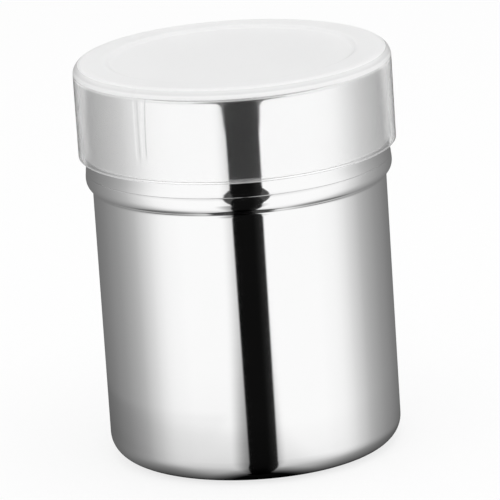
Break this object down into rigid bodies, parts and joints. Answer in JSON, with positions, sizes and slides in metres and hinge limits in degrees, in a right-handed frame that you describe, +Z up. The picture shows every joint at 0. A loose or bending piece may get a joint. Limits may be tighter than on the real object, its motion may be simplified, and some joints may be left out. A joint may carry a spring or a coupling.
{
  "type": "spice shaker",
  "caption": "Upright stainless shaker: a drawn cup with a bead round it, a screw-on lid that holds a fine wire sieve, and a slip-on translucent plastic cap.",
  "frame": {"origin": "centre of the base, on the axis, at the plane that the cup stands on", "axes": "+Z up along the axis of the cup, lid and cap; -Y faces the viewer, who sees one cap flute to the left of the middle"},
  "size_m": [0.0756, 0.0756, 0.0964],
  "materials": {
    "polished_steel": "polished like a mirror",
    "satin_steel": "satin, as drawn",
    "wire": "drawn wire",
    "clear_plastic": "glossy, milky and see-through"
  },
  "bodies": {
    "cup": {"cup": "polished_steel"},
    "screen": {"binding_ring": "satin_steel", "sieve_warp_wires": "wire", "sieve_weft_wires": "wire"},
    "lid": {"lid_shell": "polished_steel", "thread_liner": "satin_steel"},
    "cap": {"cap": "clear_plastic"}
  },
  "joints": [
    {"name": "lid_rise", "type": "slide", "parent": "cup", "child": "screen", "axis": [0, 0, 1], "range_m": [0, 0.01405]},
    {"name": "lid_turn", "type": "hinge", "parent": "screen", "child": "lid", "pos_m": [0, 0, 0.083], "axis": [0, 0, 1], "range_deg": [0, 1260]},
    {"name": "cap_lift", "type": "slide", "parent": "lid", "child": "cap", "axis": [0, 0, 1], "range_m": [0, 0.03]}
  ],
  "couplings": [
    {"joint": "lid_rise", "follows": "lid_turn", "m_per_rad": 0.00063662}
  ]
}
